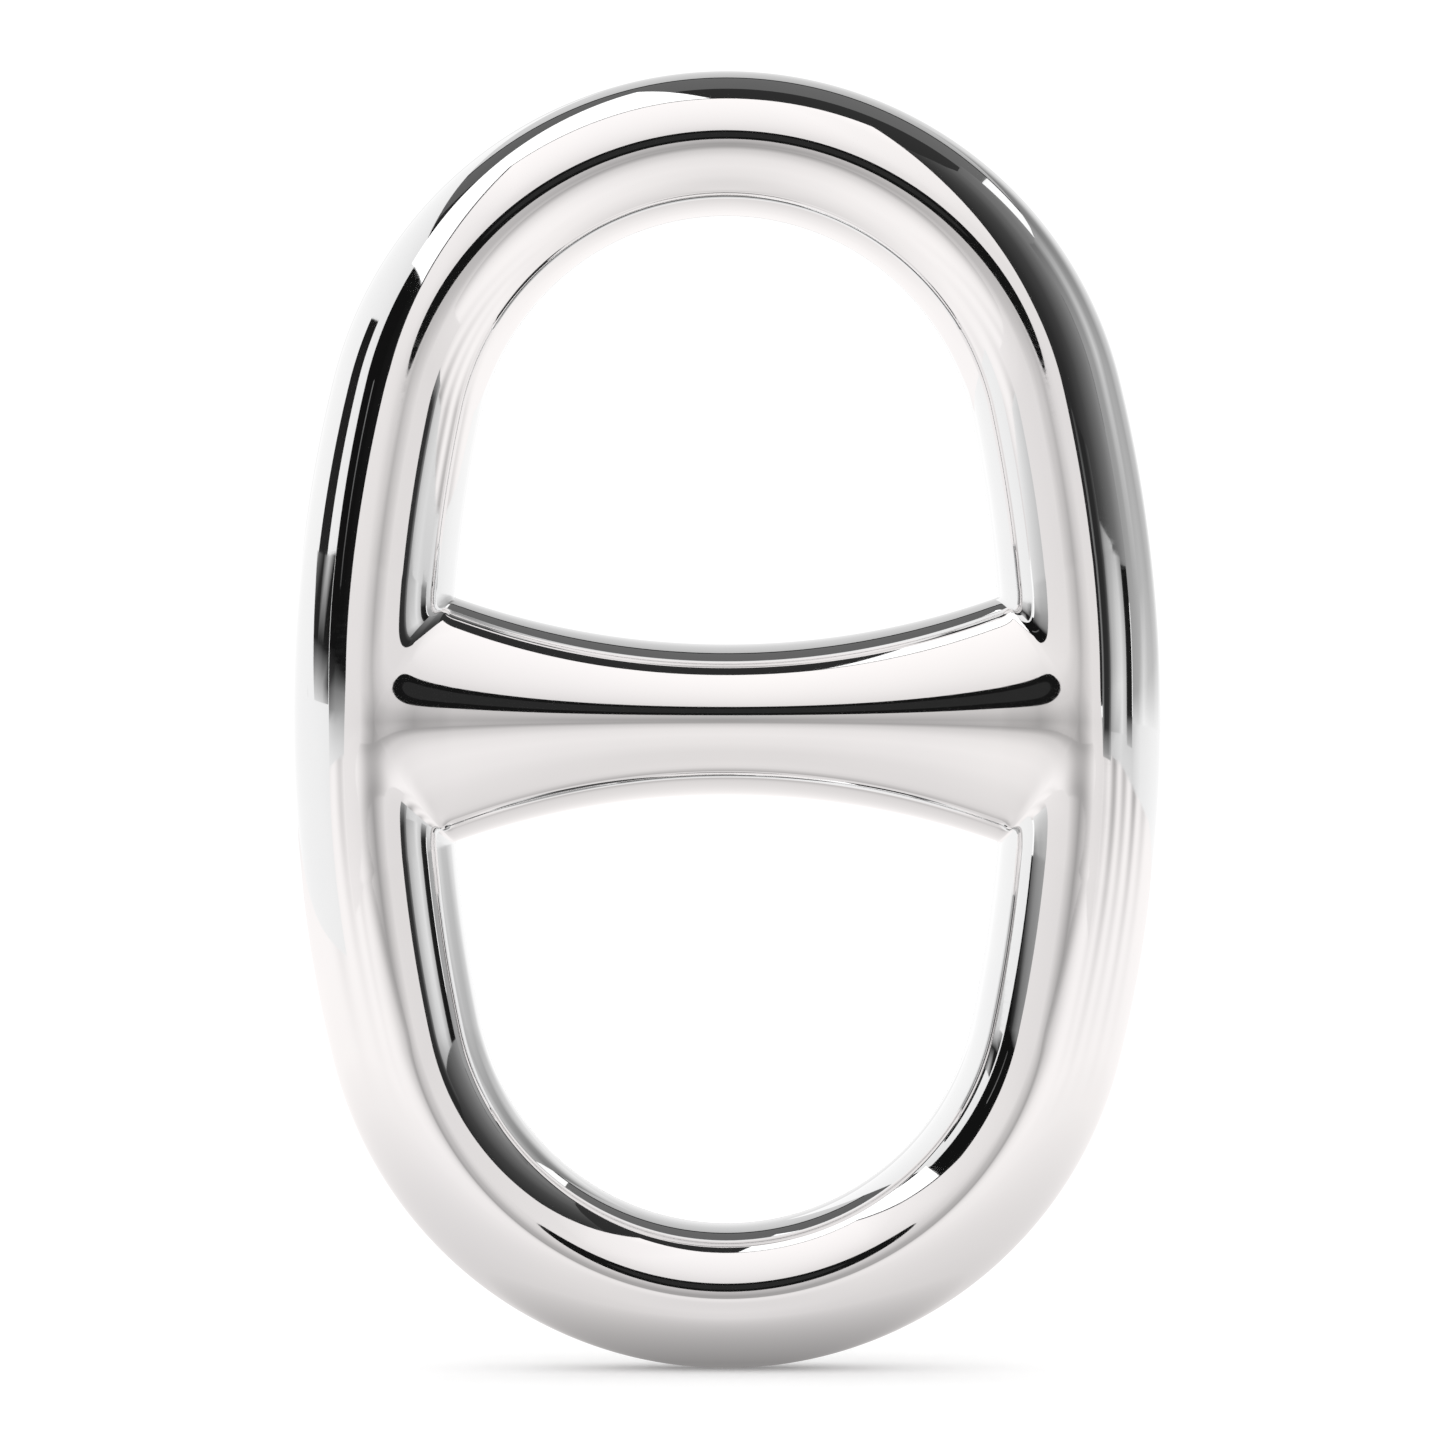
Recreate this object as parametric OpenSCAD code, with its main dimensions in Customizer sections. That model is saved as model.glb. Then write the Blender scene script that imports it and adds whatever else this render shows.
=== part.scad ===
// Two-part link puzzle: an oval chain link with a waisted crossbar, split along its mid-plane
// into a front and a back half that swivel on a hidden stud and lock with two gravity pins.
// X runs across the link, Y from front to back, Z up along it. The origin is the centre of the
// crossbar on the mid-plane.

/* [Outline] */
// Height of the link
link_h = 105; // [95:1:120]
// Width of the link
link_w = 70.4; // [66:0.2:72]
// Radius of the outer end arcs
end_r = 32.8; // [31.5:0.1:32.9]
// Width of the band at the two ends
end_band = 11.7; // [10:0.1:13]
// Width of the band at the two sides
side_band = 12.85; // [11:0.05:14]
// Radius of the inner end arcs
inner_end_r = 20.25; // [19.8:0.05:21.5]

/* [Crossbar] */
// Half the crossbar's height at its waist
waist = 6.1; // [5.6:0.1:7]
// Radius of the crossbar's hollow edges
bar_edge_r = 65.3; // [50:0.1:90]
// How far the crossbar's crest stands from the mid-plane
bar_depth = 6.4; // [5.6:0.1:6.6]
// Softness of the blend between the crossbar and the ring
blend = 0.25; // [0.1:0.05:0.5]

/* [Parting] */
// Gap between the two mating faces
gap = 0.05; // [0.03:0.01:0.1]

/* [Pivot] */
// Diameter of the stud's shank
stud_d = 4; // [3.6:0.1:4.2]
// Length of the stud's drive end past the mid-plane
drive_len = 3.2; // [2.6:0.1:3.3]
// Outside diameter of the pivot bush and of the hub socket
bush_d = 7; // [6.4:0.1:7.4]
// Depth of the pockets that hold them
bush_len = 3.4; // [3.3:0.1:3.5]
// Radial running clearance of the stud
run = 0.03; // [0.02:0.01:0.05]

/* [Gravity pins] */
// Distance of each pin from the centre
pin_x = 28.7; // [28:0.1:29]
// Diameter of the pin's shaft
pin_d = 2.6; // [2.2:0.1:2.8]
// Diameter of the pin's head
pin_head_d = 3.6; // [3.2:0.1:3.8]
// Travel of the pin
pin_travel = 2.8; // [2:0.1:3]

/* [Magnets] */
// Diameter of the alignment magnets
magnet_d = 5; // [4:0.5:5]
// Thickness of the alignment magnets
magnet_h = 2; // [1:0.5:2]

/* [Hidden] */
$fn = 64;

// An oval is four tangent arcs: [half width, half height, end radius].
OUTER = [link_w / 2, link_h / 2, end_r];
INNER = [link_w / 2 - side_band, link_h / 2 - end_band, inner_end_r];

// Radius of an oval's side arcs, from the tangency of the four arcs.
function side_r(o) = (o[0] * o[0] + pow(o[1] - o[2], 2) - o[2] * o[2]) / (2 * (o[0] - o[2]));
// Height of the end arcs' centres, and how far the side arcs' centres lie past the middle.
function end_c(o) = o[1] - o[2];
function side_c(o) = side_r(o) - o[0];
// Direction of the outline where a side arc hands over to an end arc.
function turn(o) = atan2(end_c(o), side_c(o));

// The point of an oval whose outward normal points at angle q, for q from 0 to 90.
function quarter(o, q) = q < turn(o)
    ? [side_r(o) * cos(q) - side_c(o), side_r(o) * sin(q)]
    : [o[2] * cos(q), end_c(o) + o[2] * sin(q)];
// The same for any angle, by symmetry.
function fold(q) = q <= 90 ? q : q <= 180 ? 180 - q : q <= 270 ? q - 180 : 360 - q;
function rim(o, q) =
    let (p = quarter(o, fold(q)))
    [(q > 90 && q < 270 ? -1 : 1) * p[0], (q > 180 ? -1 : 1) * p[1]];

// How far a point lies inside an oval, negative outside it.
function inside(o, x, z) =
    let (u = abs(x), v = abs(z))
    side_c(o) * v > end_c(o) * (u + side_c(o))
        ? o[2] - norm([u, v - end_c(o)])
        : side_r(o) - norm([u + side_c(o), v]);

// Half the crossbar's height at x.
function bar_half(x) = waist + bar_edge_r - sqrt(bar_edge_r * bar_edge_r - x * x);

// Squared depth of the ring alone, of the crossbar alone, and of the two blended.
function ring_sq(x, z) = max(0, inside(OUTER, x, z)) * max(0, -inside(INNER, x, z));
function run_out(d) = d >= side_band / 2 ? 1 : 1 - pow(1 - max(0, d) / (side_band / 2), 2);
function bar_sq(x, z) =
    max(0, 1 - pow(z / bar_half(x), 2)) * bar_depth * bar_depth * run_out(inside(OUTER, x, z));
function blended(a, b, soft) =
    a <= 0 || b <= 0
        ? max(a, b, 0)
        : (a + b + sqrt(pow(a - b, 2) + soft * soft * a * b / (a + b))) / 2;
function softness(x, z) = blend * side_band / 2 * run_out(inside(OUTER, x, z));
function depth(x, z) = sqrt(blended(ring_sq(x, z), bar_sq(x, z), softness(x, z)));

// The corner of each D-shaped opening, where the crossbar's edge meets the inner oval: a bisection
// on the inner oval's normal angle.
function corner_gap(q) = let (p = quarter(INNER, q)) bar_half(p[0]) - p[1];
function bisect(low, high, turns) =
    let (mid = (low + high) / 2)
    turns == 0 ? mid : corner_gap(mid) > 0 ? bisect(mid, high, turns - 1) : bisect(low, mid, turns - 1);
CORNER_Q = bisect(0, turn(INNER), 24);
CORNER = quarter(INNER, CORNER_Q);

// Stations round the ring: each mouth of the crossbar, then the run from one corner to the next.
MOUTH_STEPS = 16;
SIDE_STEPS = 6;
END_STEPS = 34;
TURN_Q = (turn(OUTER) + turn(INNER)) / 2;
mouth_q = [for (i = [0 : MOUTH_STEPS - 1])
    asin(CORNER[1] * sin(180 * i / MOUTH_STEPS - 90) / side_r(INNER))];
side_q = [for (i = [0 : SIDE_STEPS - 1]) CORNER_Q + (TURN_Q - CORNER_Q) * i / SIDE_STEPS];
end_q = [for (i = [0 : END_STEPS - 1]) TURN_Q + (180 - 2 * TURN_Q) * i / END_STEPS];
back_q = [for (i = [0 : SIDE_STEPS - 1]) 180 - TURN_Q + (TURN_Q - CORNER_Q) * i / SIDE_STEPS];
half_q = concat(mouth_q, side_q, end_q, back_q);
ring_q = [for (turns = [0, 180], q = half_q) (q + turns + 360) % 360];
RING_N = len(ring_q);

// Steps across the band and along the crossbar, closer together towards the outlines.
BAND_STEPS = 14;
BAR_STEPS = 20;
function eased(i, n) = (1 - cos(180 * i / n)) / 2;

// Points of the ring: station i, step j from the inner outline to the outer one.
ring_points = [for (i = [0 : RING_N - 1], j = [0 : BAND_STEPS])
    let (
        p = rim(INNER, ring_q[i]),
        q = rim(OUTER, ring_q[i]),
        t = eased(j, BAND_STEPS),
        x = p[0] + (q[0] - p[0]) * t,
        z = p[1] + (q[1] - p[1]) * t,
        on_edge = j == BAND_STEPS || (j == 0 && !in_mouth(i))
    )
    [x, on_edge ? 0 : -depth(x, z), z]];
function in_mouth(i) = let (k = i % (RING_N / 2)) k > 0 && k < MOUTH_STEPS;

// Points of the crossbar between its two mouths: column i, row j from the lower edge to the upper.
bar_points = [for (i = [1 : BAR_STEPS - 1], j = [0 : MOUTH_STEPS])
    let (
        u = 2 * i / BAR_STEPS - 1,
        rise = sin(180 * j / MOUTH_STEPS - 90),
        mouth_x = quarter(INNER, asin(CORNER[1] * abs(rise) / side_r(INNER)))[0],
        x = u * mouth_x,
        z = bar_half(u * CORNER[0]) * rise
    )
    [x, j == 0 || j == MOUTH_STEPS ? 0 : -depth(x, z), z]];

// Index of a ring point and of a crossbar point. Columns 0 and BAR_STEPS are the ring's mouths.
function ring_at(i, j) = (i % RING_N) * (BAND_STEPS + 1) + j;
function bar_at(i, j) =
    i == BAR_STEPS ? ring_at(j, 0)
    : i == 0 ? ring_at(RING_N / 2 + MOUTH_STEPS - j, 0)
    : RING_N * (BAND_STEPS + 1) + (i - 1) * (MOUTH_STEPS + 1) + j;

function quad(a, b, c, d) = [[a, b, c], [a, c, d]];
ring_skin = [for (i = [0 : RING_N - 1], j = [0 : BAND_STEPS - 1])
    each quad(ring_at(i, j), ring_at(i + 1, j), ring_at(i + 1, j + 1), ring_at(i, j + 1))];
bar_skin = [for (i = [0 : BAR_STEPS - 1], j = [0 : MOUTH_STEPS - 1])
    each quad(bar_at(i, j), bar_at(i, j + 1), bar_at(i + 1, j + 1), bar_at(i + 1, j))];
// The flat mating face: the band past the mouths, the crossbar, and the band across each mouth.
band_face = [for (side = [0, 1], i = [MOUTH_STEPS : RING_N / 2 - 1])
    let (s = side * RING_N / 2 + i)
    each quad(ring_at(s, 0), ring_at(s, BAND_STEPS), ring_at(s + 1, BAND_STEPS), ring_at(s + 1, 0))];
bar_face = [for (i = [0 : BAR_STEPS - 1])
    each quad(bar_at(i, 0), bar_at(i + 1, 0), bar_at(i + 1, MOUTH_STEPS), bar_at(i, MOUTH_STEPS))];
mouth_face = [for (side = [0, 1])
    let (s = side * RING_N / 2)
    concat([ring_at(s + MOUTH_STEPS, 0), ring_at(s, 0)],
        [for (i = [0 : MOUTH_STEPS]) ring_at(s + i, BAND_STEPS)])];

// One half of the link with its mating face on the mid-plane and its polished side towards -Y.
module blank_half() {
    polyhedron(
        points = concat(ring_points, bar_points),
        faces = concat(ring_skin, bar_skin, band_face, bar_face, mouth_face)
    );
}

// Sizes inside the two halves, measured from the mating face.
face = gap / 2;
flange_d = 5.6;
flange_h = 0.8;
flange_room_d = 6;
flange_room_h = 1;
drive_flat = 1.4;
flat_room = 0.05;
washer_d = 10.4;
washer_bore_d = 7.4;
washer_h = 0.4;
washer_proud = 0.03;
hub_magnet_d = 4;
hub_magnet_h = 1;
sleeve_d = 4.6;
collar_len = 1;
sleeve_len = 4.8;
pin_run = 0.05;
pin_head_h = 0.8;
pin_sunk = 0.1;
pin_end_play = 0.1;
catch_len = 3.2;
catch_d = 2.8;
magnet_sunk = 0.1;
magnet_z = link_h / 2 - end_band / 2;

// A disc, a ring and a stepped part along Y: from y = near to y = far.
module disc(d, near, far) {
    translate([0, far, 0]) rotate([90, 0, 0]) cylinder(d = d, h = far - near);
}
module hoop(d, bore, near, far) {
    difference() {
        disc(d, near, far);
        disc(bore, near - 1, far + 1);
    }
}
// A round bar along Y with one flat, at height flat above its axis.
module d_bar(d, flat, near, far) {
    difference() {
        disc(d, near, far);
        translate([-d, near - 1, flat]) cube([2 * d, far - near + 2, d]);
    }
}
module at_pin(side) {
    translate([side * pin_x, 0, 0]) children();
}
module at_magnet(side) {
    translate([0, 0, side * magnet_z]) children();
}

// Front half: pockets for the pivot bush, the stud's flange, the washer, the sleeves and magnets.
module front_half_link() {
    color([0.86, 0.86, 0.87])
    difference() {
        translate([0, -face, 0]) blank_half();
        disc(bush_d, -face - bush_len, 1);
        disc(flange_room_d, -face - bush_len - flange_room_h, 0);
        disc(washer_d, -face - washer_h + washer_proud, 1);
        for (side = [-1, 1]) {
            at_pin(side) disc(sleeve_d, -face - sleeve_len, 1);
            at_magnet(side) disc(magnet_d, -face - magnet_h - magnet_sunk, 1);
        }
    }
}

// Back half: pockets for the hub socket and its magnet, the catch bushes and magnets.
module back_half_link() {
    color([0.86, 0.86, 0.87])
    difference() {
        translate([0, face, 0]) rotate([0, 0, 180]) blank_half();
        disc(bush_d, -1, face + bush_len);
        disc(hub_magnet_d, 0, face + bush_len + hub_magnet_h);
        for (side = [-1, 1]) {
            at_pin(side) disc(sleeve_d, -1, face + catch_len);
            at_magnet(side) disc(magnet_d, -1, face + magnet_h + magnet_sunk);
        }
    }
}

// Stud: a flange behind the bush, a round shank through it and a D-shaped drive end.
module pivot_stud() {
    flange_back = face + bush_len + (flange_room_h - flange_h) / 2;
    color([0.62, 0.63, 0.65])
    union() {
        disc(flange_d, -flange_back - flange_h, -flange_back);
        disc(stud_d, -flange_back, 0);
        d_bar(stud_d, drive_flat, 0, drive_len);
    }
}

// Bush that the shank turns in.
module pivot_bush() {
    color([0.72, 0.53, 0.3])
    hoop(bush_d, stud_d + 2 * run, -face - bush_len, -face);
}

// Slip washer round the bush, a hair proud of the front half's mating face.
module glide_washer() {
    color([0.93, 0.93, 0.9])
    hoop(washer_d, washer_bore_d, -face - washer_h + washer_proud, -face + washer_proud);
}

// Socket with a D bore that the drive end slides into.
module hub_socket() {
    color([0.72, 0.53, 0.3])
    difference() {
        disc(bush_d, face, face + bush_len);
        d_bar(stud_d + 2 * run, drive_flat + flat_room, face - 1, face + bush_len + 1);
    }
}

// Disc magnet at the bottom of the socket.
module hub_magnet() {
    color([0.6, 0.61, 0.64])
    disc(hub_magnet_d, face + bush_len, face + bush_len + hub_magnet_h);
}

// Sleeve: a collar at the mating face that stops the pin's head, and a chamber that it runs in.
module lock_sleeve(side) {
    color([0.72, 0.53, 0.3])
    at_pin(side)
    difference() {
        disc(sleeve_d, -face - sleeve_len, -face);
        disc(pin_d + 2 * pin_run, -face - sleeve_len - 1, 0);
        disc(pin_head_d + 2 * pin_run, -face - sleeve_len - 1, -face - collar_len);
    }
}
module lock_sleeve_left() { lock_sleeve(-1); }
module lock_sleeve_right() { lock_sleeve(1); }

// Gravity pin, fallen back clear of the parting plane.
module lock_pin(side) {
    head_back = -face - sleeve_len + pin_end_play;
    color([0.62, 0.63, 0.65])
    at_pin(side)
    union() {
        disc(pin_head_d, head_back, head_back + pin_head_h);
        disc(pin_d, head_back + pin_head_h, -face - pin_sunk);
    }
}
module lock_pin_left() { lock_pin(-1); }
module lock_pin_right() { lock_pin(1); }

// Catch bush that the pin's tip drops into.
module catch_bush(side) {
    color([0.72, 0.53, 0.3])
    at_pin(side) hoop(sleeve_d, catch_d, face, face + catch_len);
}
module catch_bush_left() { catch_bush(-1); }
module catch_bush_right() { catch_bush(1); }

// Alignment magnets, sunk a little below each mating face.
module front_magnet(side) {
    color([0.6, 0.61, 0.64])
    at_magnet(side) disc(magnet_d, -face - magnet_sunk - magnet_h, -face - magnet_sunk);
}
module front_magnet_upper() { front_magnet(1); }
module front_magnet_lower() { front_magnet(-1); }
module back_magnet(side) {
    color([0.6, 0.61, 0.64])
    at_magnet(side) disc(magnet_d, face + magnet_sunk, face + magnet_sunk + magnet_h);
}
module back_magnet_upper() { back_magnet(1); }
module back_magnet_lower() { back_magnet(-1); }

front_half_link();
back_half_link();
pivot_stud();
pivot_bush();
glide_washer();
hub_socket();
hub_magnet();
lock_sleeve_left();
lock_sleeve_right();
lock_pin_left();
lock_pin_right();
catch_bush_left();
catch_bush_right();
front_magnet_upper();
front_magnet_lower();
back_magnet_upper();
back_magnet_lower();
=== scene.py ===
"""Two-part link puzzle: an oval link with a waisted crossbar, split along its mid-plane.

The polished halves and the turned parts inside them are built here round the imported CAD, in the
same frame: X across the link, Y from front to back, Z up along it. Sizes are in millimetres and
become metres where a mesh is made.
"""

import math

import bmesh
import bpy
import numpy as np
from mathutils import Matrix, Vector, geometry


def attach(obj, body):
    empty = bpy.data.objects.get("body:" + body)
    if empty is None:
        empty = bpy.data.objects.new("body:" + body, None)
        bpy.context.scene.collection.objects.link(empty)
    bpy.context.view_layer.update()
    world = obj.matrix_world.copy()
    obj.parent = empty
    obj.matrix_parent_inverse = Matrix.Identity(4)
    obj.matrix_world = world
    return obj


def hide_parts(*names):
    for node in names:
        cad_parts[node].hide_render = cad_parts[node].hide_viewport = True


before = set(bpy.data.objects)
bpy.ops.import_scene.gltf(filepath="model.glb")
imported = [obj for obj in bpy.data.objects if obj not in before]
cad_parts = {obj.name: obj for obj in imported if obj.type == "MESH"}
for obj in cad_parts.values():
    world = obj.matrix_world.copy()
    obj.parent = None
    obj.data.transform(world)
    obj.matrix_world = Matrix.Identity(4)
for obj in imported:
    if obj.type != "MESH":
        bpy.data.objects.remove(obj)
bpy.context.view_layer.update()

MM = 0.001


# ---------------------------------------------------------------- outline of the link

class Oval:
    """Four tangent arcs: two long side arcs and two end arcs."""

    def __init__(self, half_w, half_h, end_r):
        self.end_r = end_r
        self.end_c = half_h - end_r
        self.side_r = (half_w ** 2 + self.end_c ** 2 - end_r ** 2) / (2 * (half_w - end_r))
        self.side_c = self.side_r - half_w
        self.turn = math.atan2(self.end_c, self.side_c)

    def rim(self, q):
        """Points whose outward normals point at the angles q."""
        q = np.asarray(q, float)
        c, s = np.abs(np.cos(q)), np.abs(np.sin(q))
        on_side = np.arctan2(s, c) < self.turn
        x = np.where(on_side, self.side_r * c - self.side_c, self.end_r * c)
        z = np.where(on_side, self.side_r * s, self.end_c + self.end_r * s)
        return x * np.sign(np.cos(q)), z * np.sign(np.sin(q))

    def inside(self, x, z):
        """How far points lie inside the oval, negative outside it."""
        u, v = np.abs(x), np.abs(z)
        by_end = self.end_r - np.hypot(u, v - self.end_c)
        by_side = self.side_r - np.hypot(u + self.side_c, v)
        return np.where(self.side_c * v > self.end_c * (u + self.side_c), by_end, by_side)


SIDE_BAND = 12.85
END_BAND = 11.7
OUTER = Oval(35.2, 52.5, 32.8)
INNER = Oval(35.2 - SIDE_BAND, 52.5 - END_BAND, 20.25)

WAIST = 6.1
BAR_EDGE_R = 65.3
BAR_DEPTH = 6.4
BLEND = 0.25
FACE = 0.025


def bar_half(x):
    """Half the crossbar's height at x."""
    return WAIST + BAR_EDGE_R - np.sqrt(BAR_EDGE_R ** 2 - np.asarray(x, float) ** 2)


def ring_sq(x, z):
    return np.maximum(0, OUTER.inside(x, z)) * np.maximum(0, -INNER.inside(x, z))


def run_out(x, z):
    """One over the crossbar and up to the ring's crest, fading to nothing at the outer rim."""
    d = np.clip(OUTER.inside(x, z) / (SIDE_BAND / 2), 0, 1)
    return 1 - (1 - d) ** 2


def bar_sq(x, z):
    """Squared depth of the crossbar, which runs out towards the outer rim."""
    return np.maximum(0, 1 - (z / bar_half(x)) ** 2) * BAR_DEPTH ** 2 * run_out(x, z)


def depth(x, z):
    """Depth of the polished skin below the mating face, ring and crossbar blended."""
    a, b = ring_sq(x, z), bar_sq(x, z)
    both = (a > 0) & (b > 0)
    a1, b1 = np.where(both, a, 1), np.where(both, b, 1)
    soft = BLEND * SIDE_BAND / 2 * run_out(x, z)
    blended = (a1 + b1 + np.sqrt((a1 - b1) ** 2 + soft ** 2 * a1 * b1 / (a1 + b1))) / 2
    return np.sqrt(np.where(both, blended, np.maximum(a, b)))


# ---------------------------------------------------------------- mesh of one half

MOUTH_ROWS = 96
BAR_COLUMNS = 128
BAND_STEPS = 48
SIDE_STEPS = 56
END_STEPS = 200
EDGE_BREAK = 0.08
WELL_BREAK = 0.1
ROUND = 72


def bisect(low, high, is_low, turns=48):
    """Solves many bisections at once."""
    for _ in range(turns):
        mid = (low + high) / 2
        below = is_low(mid)
        low, high = np.where(below, mid, low), np.where(below, high, mid)
    return (low + high) / 2


def corner_angle():
    """Normal angle at which the crossbar's edge meets the inner oval."""
    def is_low(q):
        x, z = INNER.rim(q)
        return bar_half(x) > z
    return float(bisect(np.array(0.0), np.array(INNER.turn), is_low))


CORNER_Q = corner_angle()
CORNER_X, CORNER_Z = (float(v) for v in INNER.rim(CORNER_Q))


def crease(rise):
    """Where each row of the crossbar meets the ring: the x at which their depths are equal."""
    def is_low(x):
        z = rise * bar_half(x)
        return ring_sq(x, z) < bar_sq(x, z)
    start = INNER.rim(np.arcsin(CORNER_Z * rise / INNER.side_r))[0]
    x = bisect(start, np.full_like(start, OUTER.side_r - OUTER.side_c - SIDE_BAND / 2), is_low)
    x[[0, -1]] = CORNER_X
    return x


def ring_stations():
    """Start and end points of the steps across the band, all the way round from the right mouth."""
    rise = np.sin(np.linspace(-math.pi / 2, math.pi / 2, MOUTH_ROWS + 1))
    mouth_x = crease(rise)
    mouth_q = np.arcsin(CORNER_Z * rise / INNER.side_r)
    turn_q = (OUTER.turn + INNER.turn) / 2
    side = CORNER_Q + (turn_q - CORNER_Q) * (np.arange(1, SIDE_STEPS) / SIDE_STEPS) ** 1.7
    end = np.linspace(turn_q, math.pi - turn_q, END_STEPS + 1)
    run_q = np.concatenate([side, end, math.pi - side[::-1]])
    run_x, run_z = INNER.rim(run_q)
    half_x = np.concatenate([mouth_x, run_x])
    half_z = np.concatenate([rise * bar_half(mouth_x), run_z])
    half_q = np.concatenate([mouth_q, run_q])
    start_x, start_z = np.concatenate([half_x, -half_x]), np.concatenate([half_z, -half_z])
    end_x, end_z = OUTER.rim(np.concatenate([half_q, half_q + math.pi]))
    return rise, mouth_x, start_x, start_z, end_x, end_z


def blank_skin():
    """Points (x, depth, z) and quads of the polished skin, and its three boundary loops."""
    rise, mouth_x, sx, sz, ex, ez = ring_stations()
    count = len(sx)
    t = (1 - np.cos(np.linspace(0, math.pi, BAND_STEPS + 1))) / 2
    ring_x = sx[:, None] + (ex - sx)[:, None] * t
    ring_z = sz[:, None] + (ez - sz)[:, None] * t
    u = np.linspace(-1, 1, BAR_COLUMNS + 1)[1:-1]
    bar_x = u[:, None] * mouth_x
    bar_z = rise * bar_half(bar_x)
    x = np.concatenate([ring_x.ravel(), bar_x.ravel()])
    z = np.concatenate([ring_z.ravel(), bar_z.ravel()])
    points = np.stack([x, np.maximum(depth(x, z), EDGE_BREAK), z], 1)

    def ring_at(i, j):
        return (i % count) * (BAND_STEPS + 1) + j

    def bar_at(i, j):
        if i == BAR_COLUMNS:
            return ring_at(j, 0)
        if i == 0:
            return ring_at(count // 2 + MOUTH_ROWS - j, 0)
        return count * (BAND_STEPS + 1) + (i - 1) * (MOUTH_ROWS + 1) + j

    quads = [
        (ring_at(i, j), ring_at(i, j + 1), ring_at(i + 1, j + 1), ring_at(i + 1, j))
        for i in range(count) for j in range(BAND_STEPS)
    ]
    quads += [
        (bar_at(i, j), bar_at(i + 1, j), bar_at(i + 1, j + 1), bar_at(i, j + 1))
        for i in range(BAR_COLUMNS) for j in range(MOUTH_ROWS)
    ]
    outer_loop = [ring_at(i, BAND_STEPS) for i in range(count)]
    upper_loop = [ring_at(i, 0) for i in range(MOUTH_ROWS, count // 2 + 1)]
    upper_loop += [bar_at(i, MOUTH_ROWS) for i in range(1, BAR_COLUMNS)]
    lower_loop = [ring_at(i, 0) for i in range(count // 2 + MOUTH_ROWS, count + 1)]
    lower_loop += [bar_at(i, 0) for i in range(BAR_COLUMNS - 1, 0, -1)]
    return points, quads, outer_loop, upper_loop, lower_loop


def inset(loop, distance):
    """A closed loop of (x, z) moved sideways by distance, to the left of its direction."""
    before, after = loop - np.roll(loop, 1, 0), np.roll(loop, -1, 0) - loop
    left = []
    for edge in (before, after):
        normal = np.stack([-edge[:, 1], edge[:, 0]], 1)
        left.append(normal / np.linalg.norm(normal, axis=1, keepdims=True))
    middle = left[0] + left[1]
    middle /= np.linalg.norm(middle, axis=1, keepdims=True)
    stretch = 1 / np.maximum(0.3, (middle * left[0]).sum(1, keepdims=True))
    return loop + middle * stretch * distance


def circle(centre, radius):
    a = np.linspace(0, 2 * math.pi, ROUND, endpoint=False)
    return np.stack([centre[0] + radius * np.cos(a), centre[1] + radius * np.sin(a)], 1)


def link_half(name, wells, turned):
    """One half of the link. wells maps a centre (x, z) to its stepped bore [(radius, depth), ...]."""
    points, quads, *loops = blank_skin()
    points = [tuple(p) for p in points]
    faces = list(quads)
    skin_faces = len(faces)
    flat, edges = [], []

    def add(ring, at_depth):
        first = len(points)
        points.extend((p[0], at_depth, p[1]) for p in ring)
        return list(range(first, first + len(ring)))

    def join(a, b):
        for i in range(len(a)):
            k = (i + 1) % len(a)
            faces.append((a[i], a[k], b[k], b[i]))

    def border(indices):
        first = len(flat)
        flat.extend(indices)
        n = len(indices)
        edges.extend((first + i, first + (i + 1) % n) for i in range(n))

    for index, loop in enumerate(loops):
        outline = np.array([(points[i][0], points[i][2]) for i in loop])
        shrunk = add(inset(outline, EDGE_BREAK if index == 0 else -EDGE_BREAK), 0)
        join(loop, shrunk)
        border(shrunk)
    for centre, steps in wells.items():
        first_radius = steps[0][0]
        ring = add(circle(centre, first_radius + WELL_BREAK), 0)
        border(ring)
        below = add(circle(centre, first_radius), WELL_BREAK)
        join(ring, below)
        ring = below
        for radius, bottom in steps:
            if radius < first_radius:
                below = add(circle(centre, radius), level)
                join(ring, below)
                ring = below
            below = add(circle(centre, radius), bottom)
            join(ring, below)
            ring, level = below, bottom
        middle = add(np.array([centre]), level)[0]
        for i in range(ROUND):
            faces.append((ring[i], ring[(i + 1) % ROUND], middle))

    def on_face(x, z):
        if OUTER.inside(x, z) < 0 or INNER.inside(x, z) > 0 and abs(z) > bar_half(x):
            return False
        return all(
            math.hypot(x - c[0], z - c[1]) > steps[0][0] + WELL_BREAK * 0.9
            for c, steps in wells.items()
        )

    flat_points = [Vector((points[i][0], points[i][2])) for i in flat]
    found = geometry.delaunay_2d_cdt(flat_points, edges, [], 0, 1e-7)
    for triangle in found[2]:
        corners = [flat_points[found[3][i][0]] for i in triangle]
        middle = sum(corners, Vector((0, 0))) / 3
        if on_face(middle.x, middle.y):
            faces.append(tuple(flat[found[3][i][0]] for i in triangle))

    sign = 1 if turned else -1
    mesh = bpy.data.meshes.new(name)
    mesh.from_pydata(
        [(-sign * x * MM, sign * (FACE + d) * MM, z * MM) for x, d, z in points], [], faces
    )
    mesh.polygons.foreach_set(
        "material_index", [0 if i < skin_faces else 1 for i in range(len(faces))]
    )
    return finished(name, mesh, 35)


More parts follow.
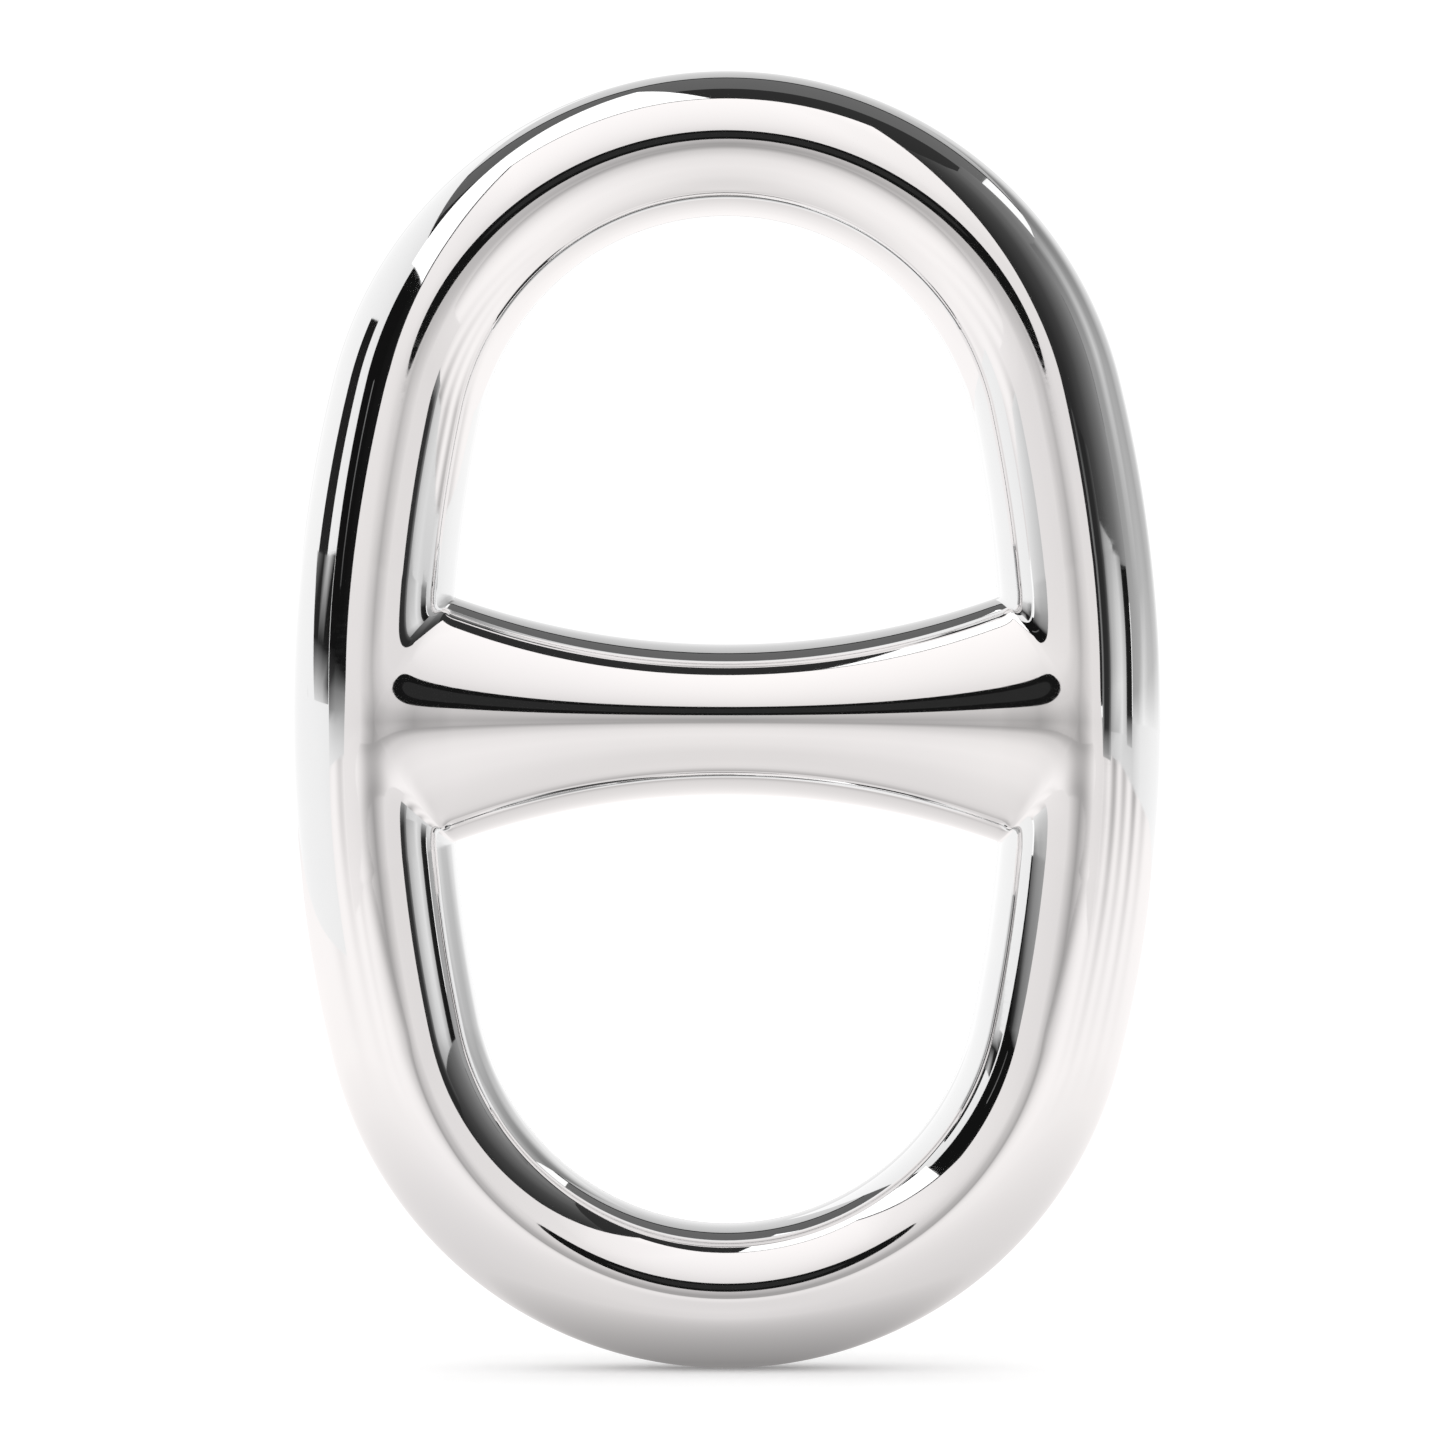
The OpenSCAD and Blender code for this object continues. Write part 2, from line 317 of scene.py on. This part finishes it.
def finished(name, mesh, sharp_angle):
    """An object of the mesh, with outward faces, smooth shading and crisp edges."""
    bm = bmesh.new()
    bm.from_mesh(mesh)
    bmesh.ops.remove_doubles(bm, verts=bm.verts, dist=1e-9)
    bmesh.ops.recalc_face_normals(bm, faces=bm.faces)
    bm.to_mesh(mesh)
    bm.free()
    mesh.shade_smooth()
    mesh.set_sharp_from_angle(angle=math.radians(sharp_angle))
    piece = bpy.data.objects.new(name, mesh)
    bpy.context.scene.collection.objects.link(piece)
    return piece


# ---------------------------------------------------------------- turned parts

TURNED_SEGMENTS = 96


def turned(name, centre, profile, closed):
    """A lathe part along Y at centre (x, z), from rings of (radius, y) or (radius, y, flat height).

    A closed profile is a hoop. An open one starts and ends on the axis.
    """
    angles = np.linspace(0, 2 * math.pi, TURNED_SEGMENTS, endpoint=False)
    mid_y = (min(p[1] for p in profile) + max(p[1] for p in profile)) / 2
    points, rings, faces = [], [], []
    for radius, y, *flat in profile:
        height = flat[0] if flat else radius
        rings.append(range(len(points), len(points) + TURNED_SEGMENTS))
        for a in angles:
            z = min(radius * math.cos(a), height)
            points.append((radius * math.sin(a) * MM, (y - mid_y) * MM, z * MM))
    pairs = list(zip(rings, rings[1:])) + ([(rings[-1], rings[0])] if closed else [])
    for a, b in pairs:
        for i in range(TURNED_SEGMENTS):
            k = (i + 1) % TURNED_SEGMENTS
            faces.append((a[i], a[k], b[k], b[i]))
    if not closed:
        for ring, end in ((rings[0], profile[0]), (rings[-1], profile[-1])):
            points.append((0, (end[1] - mid_y) * MM, 0))
            faces.extend(
                (ring[i], ring[(i + 1) % TURNED_SEGMENTS], len(points) - 1)
                for i in range(TURNED_SEGMENTS)
            )
    mesh = bpy.data.meshes.new(name)
    mesh.from_pydata(points, [], faces)
    bm = bmesh.new()
    bm.from_mesh(mesh)
    bmesh.ops.remove_doubles(bm, verts=bm.verts, dist=1e-8)
    bmesh.ops.dissolve_degenerate(bm, edges=bm.edges, dist=1e-8)
    bm.to_mesh(mesh)
    bm.free()
    piece = finished(name, mesh, 30)
    piece.location = (centre[0] * MM, mid_y * MM, centre[1] * MM)
    return piece


def rod(diameter, near, far, chamfer):
    """Profile of a plain disc or pin with chamfered ends."""
    r = diameter / 2
    return [(r - chamfer, near), (r, near + chamfer), (r, far - chamfer), (r - chamfer, far)]


def hoop(diameter, bore, near, far, chamfer):
    """Profile of a ring with chamfers on all four edges."""
    r, b = diameter / 2, bore / 2
    return [
        (b + chamfer, near), (r - chamfer, near), (r, near + chamfer), (r, far - chamfer),
        (r - chamfer, far), (b + chamfer, far), (b, far - chamfer), (b, near + chamfer),
    ]


# ---------------------------------------------------------------- materials

def new_material(name, **values):
    """A material with plain values set on the Principled shader's own sockets."""
    material = bpy.data.materials.new(name)
    material.use_nodes = True
    shader = material.node_tree.nodes["Principled BSDF"]
    for key, value in values.items():
        shader.inputs[key.replace("_", " ")].default_value = value
    return material, material.node_tree, shader


def node(tree, kind, **settings):
    made = tree.nodes.new("ShaderNode" + kind)
    for key, value in settings.items():
        if key in made.inputs:
            made.inputs[key].default_value = value
        else:
            setattr(made, key, value)
    return made


def noise(tree, coords, scale, detail=4.0, stretch=None):
    """Noise in object space; scale is in cells per metre."""
    source = coords
    if stretch:
        mapping = node(tree, "Mapping")
        mapping.inputs["Scale"].default_value = stretch
        tree.links.new(coords, mapping.inputs["Vector"])
        source = mapping.outputs["Vector"]
    made = node(tree, "TexNoise", Scale=scale, Detail=detail)
    tree.links.new(source, made.inputs["Vector"])
    return made.outputs["Fac"]


def ramp(tree, value, stops):
    """Colours or greys along a value."""
    made = node(tree, "ValToRGB")
    elements = made.color_ramp.elements
    while len(elements) < len(stops):
        elements.new(0.5)
    for element, (position, colour) in zip(elements, stops):
        element.position = position
        grey = (colour, colour, colour) if isinstance(colour, (int, float)) else colour
        element.color = (*grey, 1)
    tree.links.new(value, made.inputs["Fac"])
    return made.outputs["Color"]


def bump(tree, shader, height, strength, distance):
    made = node(tree, "Bump", Strength=strength, Distance=distance)
    tree.links.new(height, made.inputs["Height"])
    tree.links.new(made.outputs["Normal"], shader.inputs["Normal"])


def object_coords(tree):
    return node(tree, "TexCoord").outputs["Object"]


def radial(tree, coords):
    """Distance from the part's own turning axis, along Y."""
    flat = node(tree, "VectorMath", operation="MULTIPLY")
    flat.inputs[1].default_value = (1, 0, 1)
    tree.links.new(coords, flat.inputs[0])
    length = node(tree, "VectorMath", operation="LENGTH")
    tree.links.new(flat.outputs["Vector"], length.inputs[0])
    return length.outputs["Value"]


def mirror_polish():
    """Buffed skin: a clean mirror with a trace of haze and hairline wipe marks."""
    material, tree, shader = new_material("mirror_polish", Metallic=1.0)
    coords = object_coords(tree)
    haze = noise(tree, coords, 55, 3)
    tint = ramp(tree, haze, [(0.3, (0.905, 0.905, 0.91)), (0.7, (0.935, 0.933, 0.93))])
    tree.links.new(tint, shader.inputs["Base Color"])
    wipe = noise(tree, coords, 900, 2, (1, 0.15, 3))
    rough = ramp(tree, wipe, [(0.35, 0.02), (0.75, 0.05)])
    tree.links.new(rough, shader.inputs["Roughness"])
    return material


def lapped_face():
    """Mating faces: fine lapped finish, satin, with criss-cross marks."""
    material, tree, shader = new_material("lapped_face", Metallic=1.0)
    coords = object_coords(tree)
    marks = noise(tree, coords, 1500, 3, (1, 1, 12))
    tint = ramp(tree, marks, [(0.3, (0.60, 0.60, 0.61)), (0.7, (0.70, 0.70, 0.70))])
    tree.links.new(tint, shader.inputs["Base Color"])
    rough = ramp(tree, noise(tree, coords, 300), [(0.3, 0.24), (0.7, 0.36)])
    tree.links.new(rough, shader.inputs["Roughness"])
    bump(tree, shader, marks, 0.15, 0.00002)
    return material


def turned_metal(name, dark, light, rough_low, rough_high, pitch, strength):
    """Lathe-turned metal: fine rings round the part's own axis over a mottled tone."""
    material, tree, shader = new_material(name, Metallic=1.0)
    coords = object_coords(tree)
    tone = noise(tree, coords, 700, 5)
    tree.links.new(ramp(tree, tone, [(0.3, dark), (0.7, light)]), shader.inputs["Base Color"])
    distance = radial(tree, coords)
    cut = node(tree, "MapRange")
    cut.inputs["From Max"].default_value = pitch
    cut.inputs["To Max"].default_value = 1
    cut.clamp = False
    tree.links.new(distance, cut.inputs["Value"])
    grooves = node(tree, "TexNoise", noise_dimensions="1D", Scale=1.0, Detail=3.0)
    tree.links.new(cut.outputs["Result"], grooves.inputs["W"])
    rough = ramp(tree, grooves.outputs["Fac"], [(0.3, rough_low), (0.7, rough_high)])
    tree.links.new(rough, shader.inputs["Roughness"])
    bump(tree, shader, grooves.outputs["Fac"], strength, 0.00002)
    return material


def slip_plastic():
    """White PTFE-like washer: waxy, with a slight mottle."""
    material, tree, shader = new_material("slip_plastic", Specular_IOR_Level=0.4)
    coords = object_coords(tree)
    tone = noise(tree, coords, 900, 5)
    tint = ramp(tree, tone, [(0.3, (0.74, 0.73, 0.69)), (0.7, (0.84, 0.83, 0.79))])
    tree.links.new(tint, shader.inputs["Base Color"])
    rough = ramp(tree, tone, [(0.3, 0.38), (0.7, 0.52)])
    tree.links.new(rough, shader.inputs["Roughness"])
    bump(tree, shader, noise(tree, coords, 4000, 3), 0.1, 0.00002)
    return material


# ---------------------------------------------------------------- the pieces

HUB, LEFT, RIGHT = (0, 0), (-28.7, 0), (28.7, 0)
MAGNET_Z = 46.65
UPPER, LOWER = (0, MAGNET_Z), (0, -MAGNET_Z)

FRONT_WELLS = {
    HUB: [(5.2, 0.37), (3.5, 3.4), (3.0, 4.4)],
    LEFT: [(2.3, 4.8)], RIGHT: [(2.3, 4.8)],
    UPPER: [(2.5, 2.1)], LOWER: [(2.5, 2.1)],
}
BACK_WELLS = {
    HUB: [(3.5, 3.4), (2.0, 4.4)],
    LEFT: [(2.3, 3.2)], RIGHT: [(2.3, 3.2)],
    UPPER: [(2.5, 2.1)], LOWER: [(2.5, 2.1)],
}

STUD = [
    (2.65, -4.325), (2.8, -4.175), (2.8, -3.675), (2.65, -3.525), (2.0, -3.525),
    (2.0, 0.0), (2.0, 0.0, 1.4), (2.0, 3.0, 1.4), (1.8, 3.2, 1.2),
]
SOCKET = [
    (3.4, 0.025), (3.5, 0.125), (3.5, 3.325), (3.4, 3.425),
    (2.03, 3.425, 1.45), (2.03, 0.225, 1.45), (2.23, 0.025, 1.65),
]
SLEEVE = [
    (1.35, -0.125), (1.45, -0.025), (2.2, -0.025), (2.3, -0.125), (2.3, -4.725), (2.2, -4.825),
    (1.85, -4.825), (1.85, -1.025), (1.35, -1.025),
]
PIN = [
    (1.65, -4.725), (1.8, -4.575), (1.8, -4.075), (1.65, -3.925), (1.3, -3.925),
    (1.3, -0.425), (1.0, -0.125),
]
CATCH = hoop(4.6, 2.8, 0.025, 3.225, 0.15)


def build_pieces():
    polish, lapped = mirror_polish(), lapped_face()
    steel = turned_metal("turned_steel", (0.50, 0.50, 0.51), (0.62, 0.61, 0.60), 0.16, 0.30, 4e-5, 0.2)
    bronze = turned_metal("turned_bronze", (0.60, 0.38, 0.17), (0.76, 0.52, 0.27), 0.22, 0.36, 5e-5, 0.2)
    nickel = turned_metal("nickel_plate", (0.66, 0.64, 0.60), (0.76, 0.75, 0.71), 0.10, 0.18, 2e-4, 0.05)
    plastic = slip_plastic()

    for name, wells, body, back in (
        ("front_half_link", FRONT_WELLS, "front", False),
        ("back_half_link", BACK_WELLS, "back", True),
    ):
        half = link_half(name + "_skin", wells, back)
        half.data.materials.append(polish)
        half.data.materials.append(lapped)
        place(half, name, body)

    parts = [
        ("pivot_stud", HUB, STUD, False, "pivot", "hard_steel", steel),
        ("pivot_bush", HUB, hoop(7, 4.06, -3.425, -0.025, 0.15), True, "front", "bush_bronze", bronze),
        ("glide_washer", HUB, hoop(10.4, 7.4, -0.395, 0.005, 0.06), True, "front", "slip_plastic", plastic),
        ("hub_socket", HUB, SOCKET, True, "back", "bush_bronze", bronze),
        ("hub_magnet", HUB, rod(4, 3.425, 4.425, 0.12), False, "back", "magnet_nickel", nickel),
        ("front_magnet_upper", UPPER, rod(5, -2.125, -0.125, 0.15), False, "front", "magnet_nickel", nickel),
        ("front_magnet_lower", LOWER, rod(5, -2.125, -0.125, 0.15), False, "front", "magnet_nickel", nickel),
        ("back_magnet_upper", UPPER, rod(5, 0.125, 2.125, 0.15), False, "back", "magnet_nickel", nickel),
        ("back_magnet_lower", LOWER, rod(5, 0.125, 2.125, 0.15), False, "back", "magnet_nickel", nickel),
    ]
    for side, centre in (("left", LEFT), ("right", RIGHT)):
        parts += [
            ("lock_sleeve_" + side, centre, SLEEVE, True, "front", "bush_bronze", bronze),
            ("lock_pin_" + side, centre, PIN, False, "pin_" + side, "hard_steel", steel),
            ("catch_bush_" + side, centre, CATCH, True, "back", "bush_bronze", bronze),
        ]
    for name, centre, profile, closed, body, slot_name, material in parts:
        piece = turned(name + "_turned", centre, profile, closed)
        piece.data.materials.append(material)
        place(piece, name, body)


def place(piece, cad_node, body):
    """The piece stands for its CAD node, rides on its body and keeps its finish."""
    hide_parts(cad_node)
    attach(piece, body)
    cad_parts[cad_node].data.materials.clear()
    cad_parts[cad_node].data.materials.append(piece.data.materials[0])


# ---------------------------------------------------------------- studio

FLOOR_Z = -52.5


REFLECTANCE = 0.92


def linear(shade):
    """Scene brightness that shows as this display level once the polished skin has mirrored it."""
    value = ((shade + 0.055) / 1.055) ** 2.4 if shade > 0.04 else shade / 12.92
    return value / REFLECTANCE


def shade_material(name):
    """Emission that takes its brightness from the card's own point shades."""
    material = bpy.data.materials.new(name)
    material.use_nodes = True
    tree = material.node_tree
    tree.nodes.clear()
    shade = node(tree, "Attribute", attribute_name="shade")
    emission = node(tree, "Emission")
    output = node(tree, "OutputMaterial")
    tree.links.new(shade.outputs["Color"], emission.inputs["Color"])
    tree.links.new(emission.outputs["Emission"], output.inputs["Surface"])
    return material


def glossy_only(name, points, faces, shades, tint):
    """A stage surface that shows only as a reflection, with one shade for each point."""
    mesh = bpy.data.meshes.new(name)
    mesh.from_pydata([[v * MM for v in p] for p in points], [], faces)
    layer = mesh.color_attributes.new("shade", "FLOAT_COLOR", "POINT")
    for point, shade in zip(layer.data, shades):
        point.color = (*(linear(shade * t) for t in tint), 1)
    mesh.materials.append(shade_material(name))
    made = bpy.data.objects.new(name, mesh)
    bpy.context.scene.collection.objects.link(made)
    made.visible_camera = False
    made.visible_diffuse = False
    made.visible_shadow = False
    return made


def card(name, corners, shades, tint=(1, 1, 1)):
    """A flat card, with one shade or one for each corner."""
    fans = [(0, i, i + 1) for i in range(1, len(corners) - 1)]
    if isinstance(shades, (int, float)):
        shades = [shades] * len(corners)
    return glossy_only(name, corners, fans, shades, tint)


def sheet_card(name, rows, shades, tint=(1, 1, 1)):
    """A bent sheet through rows of points, with one shade for each row or each point."""
    width = len(rows[0])
    points = [p for row in rows for p in row]
    levels = []
    for shade in shades:
        levels += shade if isinstance(shade, list) else [shade] * width
    faces = [
        (j * width + i, j * width + i + 1, (j + 1) * width + i + 1, (j + 1) * width + i)
        for j in range(len(rows) - 1) for i in range(width - 1)
    ]
    return glossy_only(name, points, faces, levels, tint)


def curved_wall(name, distance, bearings, heights, shades):
    """An upright wall round the link. Bearings are degrees from straight ahead, right positive."""
    plan = [
        (distance * math.sin(math.radians(q)), -distance * math.cos(math.radians(q)))
        for q in bearings
    ]
    return sheet_card(name, [[(x, y, z) for x, y in plan] for z in heights], shades)


def oval_card(name, centre, radii, shade):
    """An upright oval card that faces straight back along Y."""
    x, y, z = centre
    across, up = radii
    angles = [2 * math.pi * i / 64 for i in range(64)]
    corners = [(x + across * math.cos(a), y, z + up * math.sin(a)) for a in angles]
    return card(name, corners, shade)


def table_card():
    """The table top as the link mirrors it, painted on a card that shows only in reflections.

    Its shades paint the shadow that the foot casts: a small grey patch, wider than deep, and pale
    further out. A grey streak runs straight ahead to the foot of the front panel, and softer
    streaks run out to the sides: painted reflections of the dark parts of the room in the table.
    """
    # Radius, shade straight ahead and shade to the sides. The grey of the inner rings is painted shadow from
    # the foot.
    rings = [
        (2, 0.55, 0.55), (6, 0.68, 0.68), (9, 0.76, 0.76), (13, 0.86, 0.84), (18, 0.88, 0.86),
        (28, 0.87, 0.88), (45, 0.87, 0.91), (70, 0.90, 0.94), (120, 0.92, 0.97),
        (200, 0.90, 0.98), (300, 0.84, 0.98), (400, 0.80, 0.98), (520, 0.70, 0.98),
        (640, 0.64, 0.97), (900, 0.62, 0.96),
    ]
    # Bearing, width and depth of each painted reflection of a dark part of the room in the table.
    streaks = [(-75, 8, 0.22), (-48, 6, 0.16), (-31, 4, 0.1), (36, 5, 0.14), (50, 5, 0.34),
               (66, 5, 0.24), (84, 5, 0.3), (104, 7, 0.12)]
    around = 144
    points, shades, faces = [], [], []
    for r, ahead, beside in rings:
        stretch = 1 + 1.6 * math.exp(-r / 25)
        reach = min(1, max(0, (r - 90) / 550))
        for k in range(around):
            a = 2 * math.pi * k / around
            points.append((stretch * r * math.sin(a), -r * math.cos(a), FLOOR_Z - 0.1))
            facing = max(0, math.cos(a)) ** 24
            turn = math.degrees(math.atan2(math.sin(a), math.cos(a)))
            streak = sum(deep * math.exp(-(((turn - q) / wide) ** 2)) for q, wide, deep in streaks)
            shades.append(beside - streak * reach + (ahead - beside) * facing)
    for j in range(len(rings) - 1):
        for k in range(around):
            n = (k + 1) % around
            faces.append((j * around + k, j * around + n, (j + 1) * around + n, (j + 1) * around + k))
    faces.append(tuple(range(around)))
    return glossy_only("table_reflected", points, faces, shades, (1, 0.985, 0.982))


def build_studio():
    world = bpy.data.worlds.new("studio")
    bpy.context.scene.world = world
    world.use_nodes = True
    background = world.node_tree.nodes["Background"]
    background.inputs["Color"].default_value = (1, 1, 1, 1)
    background.inputs["Strength"].default_value = 1.08

    # The big panel in front: far in the middle, bowed towards the link at its sides, with a thin
    # dark rim and a soft grey patch at the foot of its middle. A wide dark oval hangs before it.
    top = [
        (-145, -80, 240), (-60, -94, 320), (-20, -95, 325), (0, -95, 325), (20, -95, 325),
        (40, -94, 325), (105, -75, 280),
    ]
    middle = (-210, -70, 0, 70, 210)
    heights = (330, 130, 60, 30, -6, -30, -53)
    left = [(-148, -150), (-150, -205), (-170, -210), (-195, -220), (-205, -225), (-215, -230), (-220, -235)]
    right = [(98, -125), (92, -150), (105, -175), (125, -205), (145, -220), (165, -240), (175, -245)]
    edge_heights = (160, 80, 50, 18, -4, -26, -53)
    rows = [top]
    for height, side, start, end in zip(heights, edge_heights, left, right):
        rows.append([(*start, side), *((x, -740, height) for x in middle), (*end, side)])
    shades = [
        1.0,
        [0.95, 0.91, 0.90, 0.90, 0.90, 0.91, 0.95],
        [0.91, 0.88, 0.84, 0.80, 0.84, 0.88, 0.89],
        [0.90, 0.88, 0.80, 0.72, 0.80, 0.88, 0.88],
        [0.89, 0.88, 0.76, 0.68, 0.76, 0.88, 0.88],
        [0.89, 0.87, 0.72, 0.62, 0.72, 0.87, 0.87],
        [0.91, 0.88, 0.74, 0.63, 0.74, 0.88, 0.88],
        [0.93, 0.88, 0.72, 0.63, 0.72, 0.88, 0.90],
    ]
    sheet_card("front_panel", rows, shades, (1, 0.985, 0.982))
    card("front_rim_top", [top[0], (-151, -78, 245), (-62, -91, 326), top[1]], 0.15)
    card("front_rim_right", [top[1], (-62, -91, 326), (44, -91, 331), top[5]], 0.15)
    card("front_rim_side", [top[0], (-151, -78, 245), (-154, -151, 160), rows[1][0]], 0.15)
    card("front_rim_low", [rows[1][0], (-154, -151, 160), (-158, -206, 80), rows[2][0]], 0.15)
    oval_card("front_oval", (0, -700, 168), (165, 88), 0.08)
    oval_card("front_oval_inner", (0, -696, 168), (95, 46), 0.16)

    # Overhead and left panels. The left one has a dark opening, a dark block at its foot and a
    # grey post behind it.
    card("overhead_panel", [(-75, 120, 355), (-230, -55, 185), (-320, -475, 245), (0, -225, 525)], 1.1)
    card("left_panel", [(-190, -85, -53), (-455, 645, -53), (-75, 480, 275), (-360, -145, 290)],
         [0.93, 1.0, 1.0, 0.88])
    curved_wall("left_opening", 180, (-97, -81), (25, 105), [0.15, 0.1])
    curved_wall("left_block", 178, (-102, -96, -86, -77, -68), (6, 12, 18, 34), [
        [0.92, 0.86, 0.84, 0.80, 0.60],
        [0.80, 0.60, 0.66, 0.62, 0.12],
        [0.50, 0.16, 0.14, 0.12, 0.10],
        [0.90, 0.40, 0.15, 0.75, 0.10],
    ])
    curved_wall("left_strip", 500, (-54.5, -53), (62, 150), [0.3, 0.45])
    curved_wall("left_post", 550, (-142, -136, -131), (10, 330), [[0.9, 0.64, 0.9]] * 2)

    # The room beyond: dark ahead and to the left, a wall that grows paler to the right.
    card("front_wall", [(-1500, -1200, 55), (700, -1200, 55), (700, -1200, 1200),
                        (-1500, -1200, 1200)], [0.06, 0.14, 0.14, 0.07])
    card("left_wall", [(-1200, -1300, 55), (-1200, 900, 55), (-1200, 900, 1200),
                       (-1200, -1300, 1200)], 0.07)
    curved_wall("right_wall", 800, (24, 34, 50, 66, 78, 102), (90, 400, 1150), [
        [0.15, 0.16, 0.28, 0.42, 0.55, 0.62],
        [0.16, 0.18, 0.25, 0.40, 0.50, 0.60],
        [0.14, 0.16, 0.24, 0.32, 0.38, 0.42],
    ])
    curved_wall("right_seam", 700, (79.5, 81), (190, 420), [0.3, 0.3])
    curved_wall("right_screen", 500, (80, 90, 101, 112, 125, 142, 160), (-4, 22, 60, 200, 420), [
        [0.82, 0.84, 0.95, 0.92, 0.92, 0.95, 0.98],
        [0.62, 0.66, 0.85, 0.76, 0.74, 0.82, 0.97],
        [0.60, 0.64, 0.70, 0.72, 0.68, 0.76, 0.95],
        [0.60, 0.60, 0.80, 0.64, 0.60, 0.80, 0.92],
        [0.42, 0.44, 0.62, 0.60, 0.46, 0.50, 0.80],
    ])
    curved_wall("right_low_light", 620, (43, 48, 56, 62, 70.5), (-20, 45, 95), [
        [0.55, 0.68, 0.75, 0.88, 0.75],
        [0.50, 0.72, 0.84, 0.88, 0.70],
        [0.30, 0.60, 0.70, 0.75, 0.50],
    ])
    curved_wall("right_post", 600, (69.5, 71.5, 79), (-30, 5, 88), [
        [0.8, 0.7, 0.7], [0.3, 0.14, 0.12], [0.2, 0.08, 0.08],
    ])
    curved_wall("right_edge", 450, (32, 35, 41, 45), (-40, -12, 100), [
        [0.68, 0.60, 0.58, 0.7], [0.60, 0.18, 0.20, 0.5], [0.3, 0.15, 0.16, 0.3],
    ])
    card("ceiling_front", [(-1500, -1300, 1100), (900, -1300, 1100), (900, 60, 1100), (-1500, 60, 1100)],
         [0.1, 0.16, 0.2, 0.14])
    card("ceiling_back", [(-1500, 60, 1100), (900, 60, 1100), (900, 700, 1100), (-1500, 700, 1100)],
         [0.35, 0.4, 0.42, 0.38])

    # Where the table top ends: a low band to the left that fades up into the dark, a pale one to
    # the right, and a pale wall far behind that is greyer towards its top.
    curved_wall("left_fade", 640, (-66, -55, -40, -31), (-53, -10, 15, 42, 60), [
        [0.92, 0.88, 0.84, 0.87],
        [0.82, 0.76, 0.72, 0.80],
        [0.50, 0.60, 0.62, 0.72],
        [0.26, 0.48, 0.50, 0.56],
        [0.10, 0.14, 0.16, 0.30],
    ])
    curved_wall("right_fade", 640, (28, 45, 60, 80, 95, 120, 150), (-53, 4), [
        [0.80, 0.78, 0.85, 0.84, 0.92, 0.95, 0.98],
        [0.60, 0.64, 0.86, 0.76, 0.90, 0.93, 0.96],
    ])
    curved_wall("back_fade", 640, (150, 180, 210), (-53, 4), [1.0, 0.98])
    card("back_wall", [(-1200, 700, 60), (1200, 700, 60), (1200, 700, 1000), (-1200, 700, 1000)],
         [0.97, 0.92, 0.6, 0.85])
    card("back_wall_top", [(-1200, 700, 1000), (1200, 700, 1000), (1200, 700, 1100),
                           (-1200, 700, 1100)], 0.12)
    table_card()

    bpy.ops.mesh.primitive_plane_add(size=6, location=(0, 0, FLOOR_Z * MM))
    floor = bpy.context.object
    floor.name = "floor"
    floor.visible_glossy = False
    material, tree, shader = new_material(
        "floor_paper", Base_Color=(0.97, 0.97, 0.97, 1), Roughness=0.35, Specular_IOR_Level=0.0,
        Emission_Color=(1, 1, 1, 1), Emission_Strength=0.1,
    )
    floor.data.materials.append(material)


def build_camera():
    """Straight on, a little over half a metre away, level with the crossbar."""
    data = bpy.data.cameras.new("camera")
    data.sensor_width = 36
    data.lens = 178.4
    data.clip_start = 0.01
    data.clip_end = 20
    camera = bpy.data.objects.new("camera", data)
    camera.location = (-0.00032, -0.58, -0.00024)
    camera.rotation_euler = (math.radians(90), 0, 0)
    bpy.context.scene.collection.objects.link(camera)
    bpy.context.scene.camera = camera


bpy.context.scene.view_settings.view_transform = "Standard"
build_pieces()
build_studio()
build_camera()
